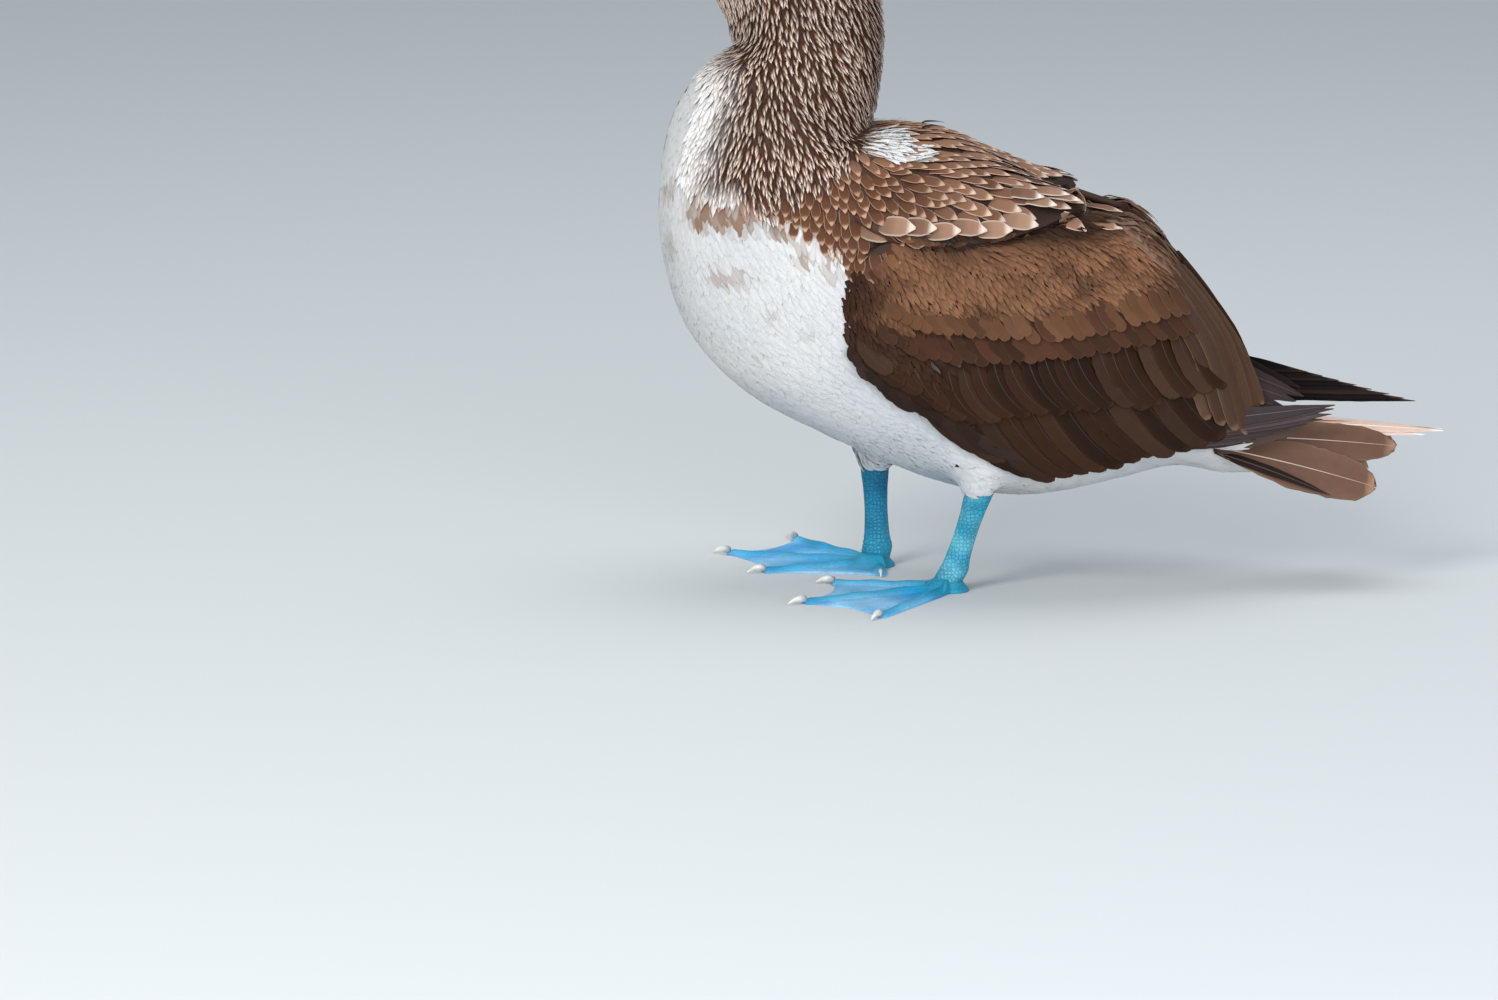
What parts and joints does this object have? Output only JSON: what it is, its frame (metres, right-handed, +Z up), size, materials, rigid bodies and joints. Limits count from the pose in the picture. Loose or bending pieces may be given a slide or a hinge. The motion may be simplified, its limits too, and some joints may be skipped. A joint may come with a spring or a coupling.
{
  "type": "blue-footed booby",
  "caption": "Life-size still model of a standing blue-footed booby seabird, wings folded and tail level, on two webbed blue feet.",
  "frame": {"origin": "on the floor the bird stands on, under the middle of its bounding box", "axes": "+Z up; the bird faces -X, so +X runs from bill to tail and -Y is its left side"},
  "size_m": [0.5984, 0.274, 0.473],
  "materials": {
    "plumage_white": "matte",
    "plumage_streaked": "matte",
    "plumage_wing": "matte",
    "plumage_tail": "matte",
    "foot_skin": "satin",
    "shank_skin": "satin",
    "bill_horn": "satin",
    "claw_horn": "satin",
    "eye": "gloss"
  },
  "bodies": {
    "root": {"head": "plumage_streaked", "neck": "plumage_streaked", "torso": "plumage_white", "tail": "plumage_tail", "bill_upper": "bill_horn", "bill_lower": "bill_horn", "eye_left": "eye", "wing_left": "plumage_wing", "thigh_left": "plumage_white", "shank_left": "shank_skin", "foot_left": "foot_skin", "claw_hind_left": "claw_horn", "claw_inner_left": "claw_horn", "claw_middle_left": "claw_horn", "claw_outer_left": "claw_horn", "eye_right": "eye", "wing_right": "plumage_wing", "thigh_right": "plumage_white", "shank_right": "shank_skin", "foot_right": "foot_skin", "claw_hind_right": "claw_horn", "claw_inner_right": "claw_horn", "claw_middle_right": "claw_horn", "claw_outer_right": "claw_horn"}
  },
  "joints": []
}
